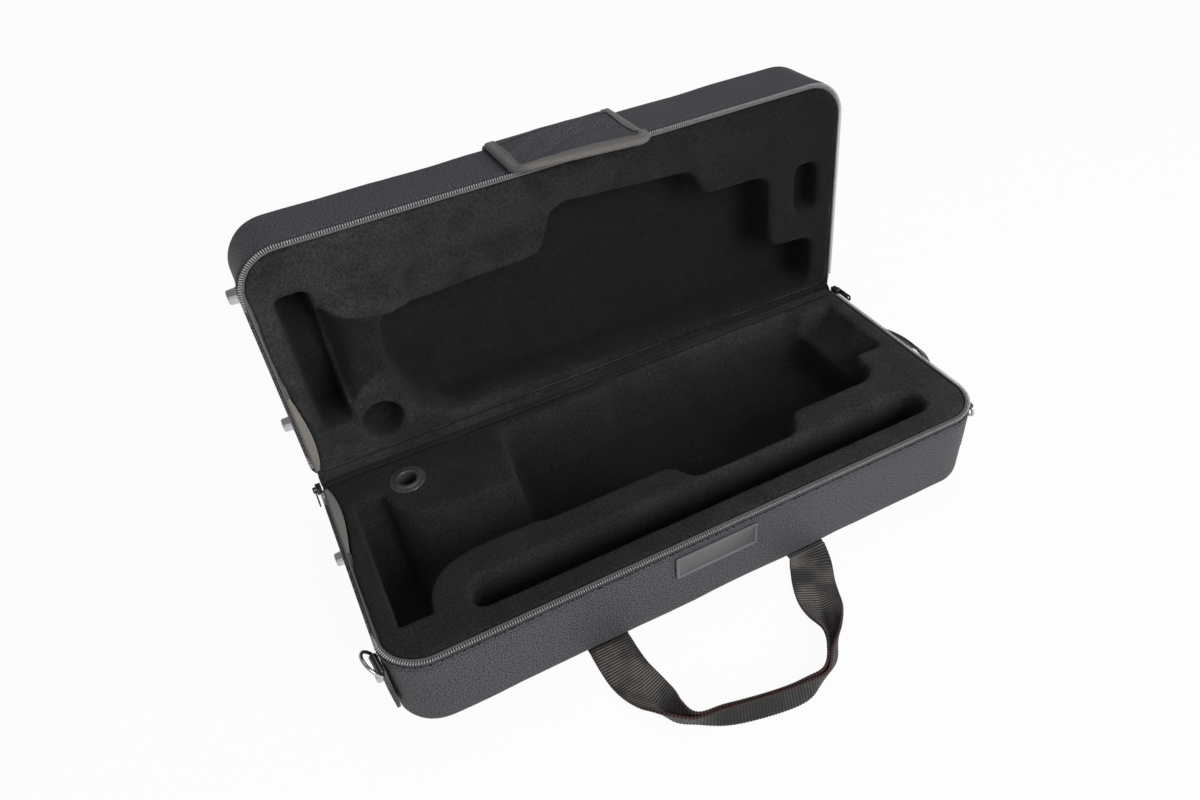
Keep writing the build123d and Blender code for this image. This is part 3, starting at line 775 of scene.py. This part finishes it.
# Webbing: thick ribs across its length, tan where they stand proud and dark brown between, and
# a reddish thread along both selvedges. It makes the straps under the base, which carry the
# loop and lift the case off the table, the handle on the right end and the tabs of the rings.
strap_rib, strap_wide, thread_wide = 0.0026, 0.038, 0.0008
ribbed = Finish("ribbed_webbing", Roughness=0.72, Sheen_Weight=0.12, Sheen_Roughness=0.4)
ribbed_at = ribbed.place("UV")
rib_wave = ribbed.axis(ribbed_at, 0).wave(strap_rib)
weft = ribbed.noise(ribbed_at, 0.0011, 2.0)
ridge = ribbed.ramp(rib_wave + weft * 0.3 - 0.15, 0.42, 0.86)
grime = ribbed.ramp(ribbed.noise(ribbed.place(), 0.03, 3.0), 0.38, 0.62)
proud = ribbed.mix(grime, (0.040, 0.036, 0.033), (0.190, 0.173, 0.157))
ribs_tone = ribbed.mix(ridge, (0.0055, 0.0048, 0.0048), proud)
off_middle = ribbed.math("ABSOLUTE", ribbed.axis(ribbed_at, 1))
selvedge = ribbed.math("GREATER_THAN", off_middle, strap_wide / 2 - thread_wide)
ribbed.feed(Base_Color=ribbed.mix(selvedge * 0.8, ribs_tone, (0.050, 0.013, 0.011)))
ribbed.bump(rib_wave, 0.0006)

left_leg, right_leg = -0.1115, 0.0925
strap_front, strap_rear = -0.1159, 0.1115
for name, x, node in (("left_strap", left_leg, ("handle_anchor_straps",)), ("right_strap", right_leg, ())):
    strip(
        name, strap_rear - strap_front, strap_wide, 0.0022,
        lambda s, w, x=x: Vector((x + w, strap_front + s, webbing / 2)),
        ribbed, "base", "webbing", *node, rib=strap_rib, rise=0.00025, columns=12,
    )

grab_long, grab_wide, grab_free, grab_high = 0.128, 0.030, 0.092, 0.061
grab_out, grab_up, grab_tip = 0.0168, 0.0118, math.radians(44)


def grab_at(s, w):
    """The right end's handle: flat where it is riveted, bowed out and tipped up between."""
    y = s - grab_long / 2
    part = min(1.0, abs(y) / (grab_free / 2))
    bow = 0.6 * (1 - part ** 3) + 0.4 * (0.5 + 0.5 * math.cos(math.pi * part))
    tip = grab_tip * bow
    out, up = grab_out * bow - w * math.sin(tip), grab_up * bow + w * math.cos(tip)
    return Vector((length / 2 + webbing / 2 + out, y, grab_high + up))


strip(
    "grab_handle", grab_long, grab_wide, 0.0022, grab_at, ribbed, "base", "webbing",
    "end_grab_handle", rib=strap_rib, rise=0.0002, columns=10,
)

tab_turn, tab_high, tab_wide = math.radians(7), 0.069, 0.020
tab_out, tab_aside, tail_short = 0.0034, 0.004, 0.0024
tail, eye, eye_turn = 0.049, 0.00265, math.radians(295)
to_corner = Matrix.Translation((
    front_corner * (1 - math.cos(tab_turn)) - length / 2,
    front_corner * (1 - math.sin(tab_turn)) - width / 2, tab_high,
))
off_wall = Matrix.Translation((-tab_out, -tab_aside, 0))
on_corner = to_corner @ Matrix.Rotation(tab_turn, 4, "Z") @ off_wall


def on_side(spot, side):
    """A point near the left front corner, or for side -1 its mirror image on the right."""
    spot = on_corner @ spot
    return Vector((spot.x * side, spot.y, spot.z))


def tab_at(s, w, side):
    """Up the wall as the inner layer, round the ring's bar and down as the outer layer."""
    turn = max(0.0, min(eye_turn, (s - tail) / eye))
    straight = min(0.0, s - tail) - max(0.0, s - tail - eye * eye_turn)
    return on_side(Vector((eye * math.cos(turn), w, eye * math.sin(turn) + straight)), side)


def seam(start, end):
    """Stitches from one point to another."""
    count = max(1, round((end - start).length / stitch))
    way = (end - start).normalized()
    return [(start.lerp(end, (index + 0.5) / count), way) for index in range(count)]


box_in, box_half, box_top, box_foot = 0.0004, 0.007, -0.012, -0.044
box = [(-box_half, box_top), (box_half, box_top), (box_half, box_foot), (-box_half, box_foot)]
for side, node in ((1, "left_ring_tab"), (-1, "right_ring_tab")):
    strip(
        node + "_web", 2 * tail + eye * eye_turn - tail_short, tab_wide, 0.0014,
        lambda s, w, side=side: tab_at(s, w, side),
        ribbed, "base", "webbing", node, rib=strap_rib, rise=0.0001, columns=8,
    )
    spots = [on_side(Vector((box_in, y, z)), side) for y, z in box]
    stitches = [row for index in range(4) for row in seam(spots[index - 1], spots[index])]
    sew(node + "_box", stitches, "base", "webbing")


# Carrying loop: the same webbing leaves the floor edge as two flat legs. Each leg folds along
# its middle, and the folded grip between them stands on edge and leans a little inwards.

# A station gives the millimetres right of the left leg and out from the case, then in degrees
# the fold of each half of the webbing and its lean inwards.
loop_stations = [
    (0, 0, 0, 0), (0, 16, 0, 0), (1, 32, 0, 0), (4, 50, 12, 3), (8, 68, 34, 6), (14, 86, 66, 6),
    (27, 99, 88, -12), (52, 108, 88, 20), (87, 116, 88, 28), (114, 119, 88, 22),
    (135, 115, 88, -10), (153, 103, 88, 16), (165, 87, 70, 8), (173, 67, 36, 8), (180, 48, 12, 4),
    (188, 31, 0, 0), (197, 15, 0, 0), (204, 0, 0, 0),
]
leg_square, crease, loop_lift = 0.02, 0.0013, 0.0013


def curve(a, b, c, d, t):
    """Smooth curve from b to c, led by the values before and after them."""
    square, cube = 2 * a - 5 * b + 4 * c - d, 3 * b - a - 3 * c + d
    return 0.5 * (2 * b + (c - a) * t + square * t ** 2 + cube * t ** 3)


route = []
for index in range(len(loop_stations) - 1):
    around = [loop_stations[min(max(index + step, 0), len(loop_stations) - 1)] for step in (-1, 0, 1, 2)]
    for step in range(14):
        route.append(Vector([curve(*values, step / 14) for values in zip(*around)]))
route.append(Vector(loop_stations[-1]))
reach = [0.0]
for first, second in zip(route, route[1:]):
    reach.append(reach[-1] + (second.xy - first.xy).length / 1000)
loop_long = reach[-1]


def folded(q, fold, lean):
    """Point q across the webbing, which is folded along its middle and leans inwards."""
    bend = max(-fold, min(fold, q / crease))
    rest = q - bend * crease
    inward = crease * math.sin(bend) + rest * math.cos(bend)
    up = crease * (1 - math.cos(bend)) + rest * math.sin(bend)
    return (
        inward * math.cos(lean) + up * math.sin(lean),
        up * math.cos(lean) - inward * math.sin(lean),
    )


def loop_at(s, w):
    """Point of the webbing s along the loop and w across it, positive towards its inside."""
    index = max(0, min(len(route) - 2, sum(1 for mark in reach if mark <= s) - 1))
    part = (s - reach[index]) / (reach[index + 1] - reach[index])
    x, y, fold, lean = route[index].lerp(route[index + 1], part)
    fold, lean = math.radians(max(fold, 0.0)), math.radians(lean)
    before, after = route[max(index - 1, 0)], route[min(index + 2, len(route) - 1)]
    way = Vector((after.x - before.x, before.y - after.y)).normalized()
    square = max(0.0, 1 - min(s, loop_long - s) / leg_square)
    way = way.lerp(Vector((0, -1 if s < loop_long / 2 else 1)), square).normalized()
    section = [folded(strap_wide * (step / 16 - 0.5), fold, lean) for step in range(17)]
    middle = sum(inward for inward, up in section) / 17
    inward, up = folded(w, fold, lean)
    low = min(up, *(height for inner, height in section))
    ground = Vector((left_leg + x / 1000, -width / 2 - y / 1000))
    ground += Vector((-way.y, way.x)) * (inward - middle)
    return Vector((ground.x, ground.y, up - low + loop_lift))


strip(
    "carrying_loop", loop_long, strap_wide, 0.0019, loop_at, ribbed, "carry_handle", "webbing",
    "carry_handle", rows=800, columns=32, rib=strap_rib, rise=0.00025,
)


# Wrap: a padded nylon panel sewn to the lid, which folds round the carrying loop. It lies over
# the zip when the case stands open, crowned by its foam and creased. Its free edge hangs lower
# towards the right end, and stands off a little to clear the badge when the case is closed.
wrap_long, wrap_deep, wrap_corner, panel_thick = 0.124, 0.0716, 0.016, 0.0042
wrap_skew, badge_clear, binding_reach, panel_inset = 0.0185, 0.0024, 0.009, 0.0026
badge_from, badge_rise = 0.064, 0.009
foam_low, foam_crown = 0.0031, 0.0024
ridge_rise, ridge_fade = 0.0036, 0.0065
slack_dip, slack_fade = 0.0017, 0.0055
pull_dip, pull_fade = 0.0014, 0.0045
wave_rise, wave_wide = 0.0015, 0.020
wrap_place = lid_turn @ Matrix.Translation((0.009, -0.1179, 0.1496))


def wrap_mid(x, d):
    """Height of the panel's middle layer over the lid at x along and d down from its sewn edge.

    A ridge runs near the sewn edge, a slack hollow across the middle and a pulled crease right.
    """
    u, v = 2 * x / wrap_long, d / wrap_deep
    crown = (1 - min(1.0, abs(u)) ** 4) * (1 - abs(min(1.0, 2 * v - 1)) ** 4)
    ridge_at = 0.20 - 0.06 * u + 0.34 * max(0.0, -0.42 - u) / 0.58
    ridge = ridge_rise * math.exp(-abs(v - ridge_at) * wrap_deep / ridge_fade)
    slack_at = 0.62 - 0.22 * math.sin(2.6 * u + 0.6)
    slack = slack_dip * math.exp(-((v - slack_at) * wrap_deep / slack_fade) ** 2)
    pull_at = 0.80 - 0.4 * u
    pull = pull_dip * math.exp(-((v - pull_at) * wrap_deep / pull_fade) ** 2) * max(0.0, u)
    wave = uneven(Vector((x, d, 0.4)), (wave_wide, wave_rise))
    return foam_low + (foam_crown + ridge - slack - pull + wave) * crown


def ease(value):
    """Smooth step from 0 to 1 as value goes from 0 to 1."""
    part = unit(value)
    return part * part * (3 - 2 * part)


def on_wrap(x, d, height):
    """Open place of a point of the wrap, with its skew and the badge's clearance."""
    d += wrap_skew * (x / wrap_long + 0.5) * ease(d / (wrap_deep - binding_reach))
    return wrap_place @ Vector((x, -height - badge_clear * ease((d - badge_from) / badge_rise), -d))


def wrap_half_width(d):
    """Half the panel's width at d down from its sewn edge."""
    over = max(0.0, d - (wrap_deep - wrap_corner))
    return wrap_long / 2 - wrap_corner + math.sqrt(max(0.0, wrap_corner ** 2 - over ** 2))


def panel_at(s, w):
    """Point of the panel, whose edge stays inside its binding."""
    x, d = s - wrap_long / 2, wrap_deep / 2 + w
    down = min(d, wrap_deep - panel_inset)
    half = wrap_half_width(down) - panel_inset
    return on_wrap(2 * x / wrap_long * half, down, wrap_mid(x, d))


wrap_panel = strip(
    "wrap_panel", wrap_long, wrap_deep, panel_thick, panel_at, nylon, "wrap", "outer_nylon",
    "handle_wrap", rows=110, columns=64,
)

# Binding: a brown-grey tape folded over three edges of the wrap and sewn through with a row of
# dark stitches. It follows the panel's skew and its rounded corners.
bound = Finish("bound_edge", Roughness=0.7, Sheen_Weight=0.15, Sheen_Roughness=0.4)
bound_at = bound.place("UV")
bound_rib = bound.axis(bound_at, 0).wave(0.0016)
dust = bound.noise(bound_at, 0.0014, 2.0)
bound.feed(Base_Color=bound.mix(bound_rib * 0.4 + dust * 0.6, (0.068, 0.063, 0.059), (0.205, 0.192, 0.180)))
bound.bump(bound_rib, 0.0002)

half_thick = 0.0027
half_turn = half_thick * math.pi / 2
side_run = wrap_deep - wrap_corner
corner_run = wrap_corner * math.pi / 2
binding_long = 2 * side_run + 2 * corner_run + wrap_long - 2 * wrap_corner
binding_wide = 2 * (binding_reach - half_thick + half_turn)


def edge_of_wrap(s):
    """Place and outward way of the wrap's bound edge, from the sewn edge round to it again."""
    if s > binding_long / 2:
        x, d, away_x, away_d = edge_of_wrap(binding_long - s)
        return -x, d, -away_x, away_d
    turn = unit((s - side_run) / corner_run) * math.pi / 2
    away_x, away_d = -math.cos(turn), math.sin(turn)
    x = wrap_corner - wrap_long / 2 + wrap_corner * away_x + max(0.0, s - side_run - corner_run)
    d = min(s, side_run) + wrap_corner * away_d
    return x, d, away_x, away_d


def binding_at(s, w):
    """Over the edge from the panel's upper side to its underside."""
    x, d, away_x, away_d = edge_of_wrap(s)
    bend = max(-half_turn, min(half_turn, w)) / half_thick
    inward = max(0.0, abs(w) - half_turn) + half_thick * (1 - math.cos(bend))
    x, d = x - away_x * inward, d - away_d * inward
    return on_wrap(x, d, wrap_mid(x, d) + half_thick * math.sin(bend))


strip(
    "wrap_edge", binding_long, binding_wide, 0.0009, binding_at, bound, "wrap", "binding",
    "wrap_binding", rows=220, columns=26,
)
wrap_stitch, stitch_in, stitch_proud = 0.0034, 0.0018, 0.0004
stitches = []
for count in range(int(binding_long / wrap_stitch)):
    s, w = (count + 0.5) * wrap_stitch, binding_wide / 2 - stitch_in
    spot, beyond = binding_at(s, w), binding_at(min(s + 0.0005, binding_long), w)
    lifted = spot + wrap_place.to_3x3() @ Vector((0, -stitch_proud, 0))
    stitches.append((lifted, (beyond - spot).normalized()))
sew("wrap_seam", stitches, "wrap", "binding", wrap_stitch)

# Hook and loop: a fuzzy black strip under each long edge of the wrap, which close on each
# other round the carrying loop.
fuzz = Finish("hook_and_loop", Roughness=0.9, Sheen_Weight=0.3)
tangle = fuzz.noise(fuzz.place("UV"), 0.0009, 3.0, 0.7)
fuzz.feed(Base_Color=fuzz.mix(tangle, (0.008, 0.008, 0.009), (0.05, 0.05, 0.055)))
fuzz.bump(tangle, 0.0008)
fuzz_long, fuzz_wide, fuzz_under = 0.102, 0.020, 0.0026


def fuzz_at(s, w, drop):
    """Point of a strip on the wrap's underside that starts drop down from the sewn edge."""
    x, d = s - fuzz_long / 2, drop + fuzz_wide / 2 + w
    return on_wrap(x, d, wrap_mid(x, d) - fuzz_under)


for node, drop in (("wrap_hook_strip", 0.044), ("wrap_loop_strip", 0.008)):
    strip(
        node + "_web", fuzz_long, fuzz_wide, 0.0010, lambda s, w, drop=drop: fuzz_at(s, w, drop),
        fuzz, "wrap", "hook_and_loop", node, rows=60, columns=14,
    )

# Sewn end: the part of the wrap that is sewn flat to the lid, and the strip of its nylon that
# runs from there round the lid's edge onto the panel.
dressed("wrap_sewn_edge", nylon, "lid", "outer_nylon", 0.0008)
bridge_long, bridge_wide, bridge_over, bridge_ease = 0.96 * wrap_long, 0.022, 0.0026, 0.004
edge_back, edge_middle, edge_outer = 0.0004, -0.0084, 0.0120


def bridge_at(s, w):
    """The wrap's nylon where it leaves its sewn end: round the lid's edge and onto the panel."""
    x = s - bridge_long / 2
    if w < 0:
        turn = -w / edge_outer
        behind = edge_back + edge_outer * math.sin(turn)
        return on_wrap(x, -behind, edge_middle + edge_outer * math.cos(turn))
    crest = edge_middle + edge_outer
    top = wrap_mid(x, w) + bridge_over
    return on_wrap(x, w, crest + (top - crest) * ease(w / bridge_ease))


bridge = strip(
    "wrap_bridge", bridge_long, bridge_wide, 0.0008, bridge_at, nylon, None, "outer_nylon",
    rows=60, columns=28,
)
bend_from, bend_to = on_wrap(0, -0.0006, 0.0048), on_wrap(0, 0.0022, 0.0056)
bend_across(bridge, bend_from, bend_to)


bpy.context.view_layer.update()
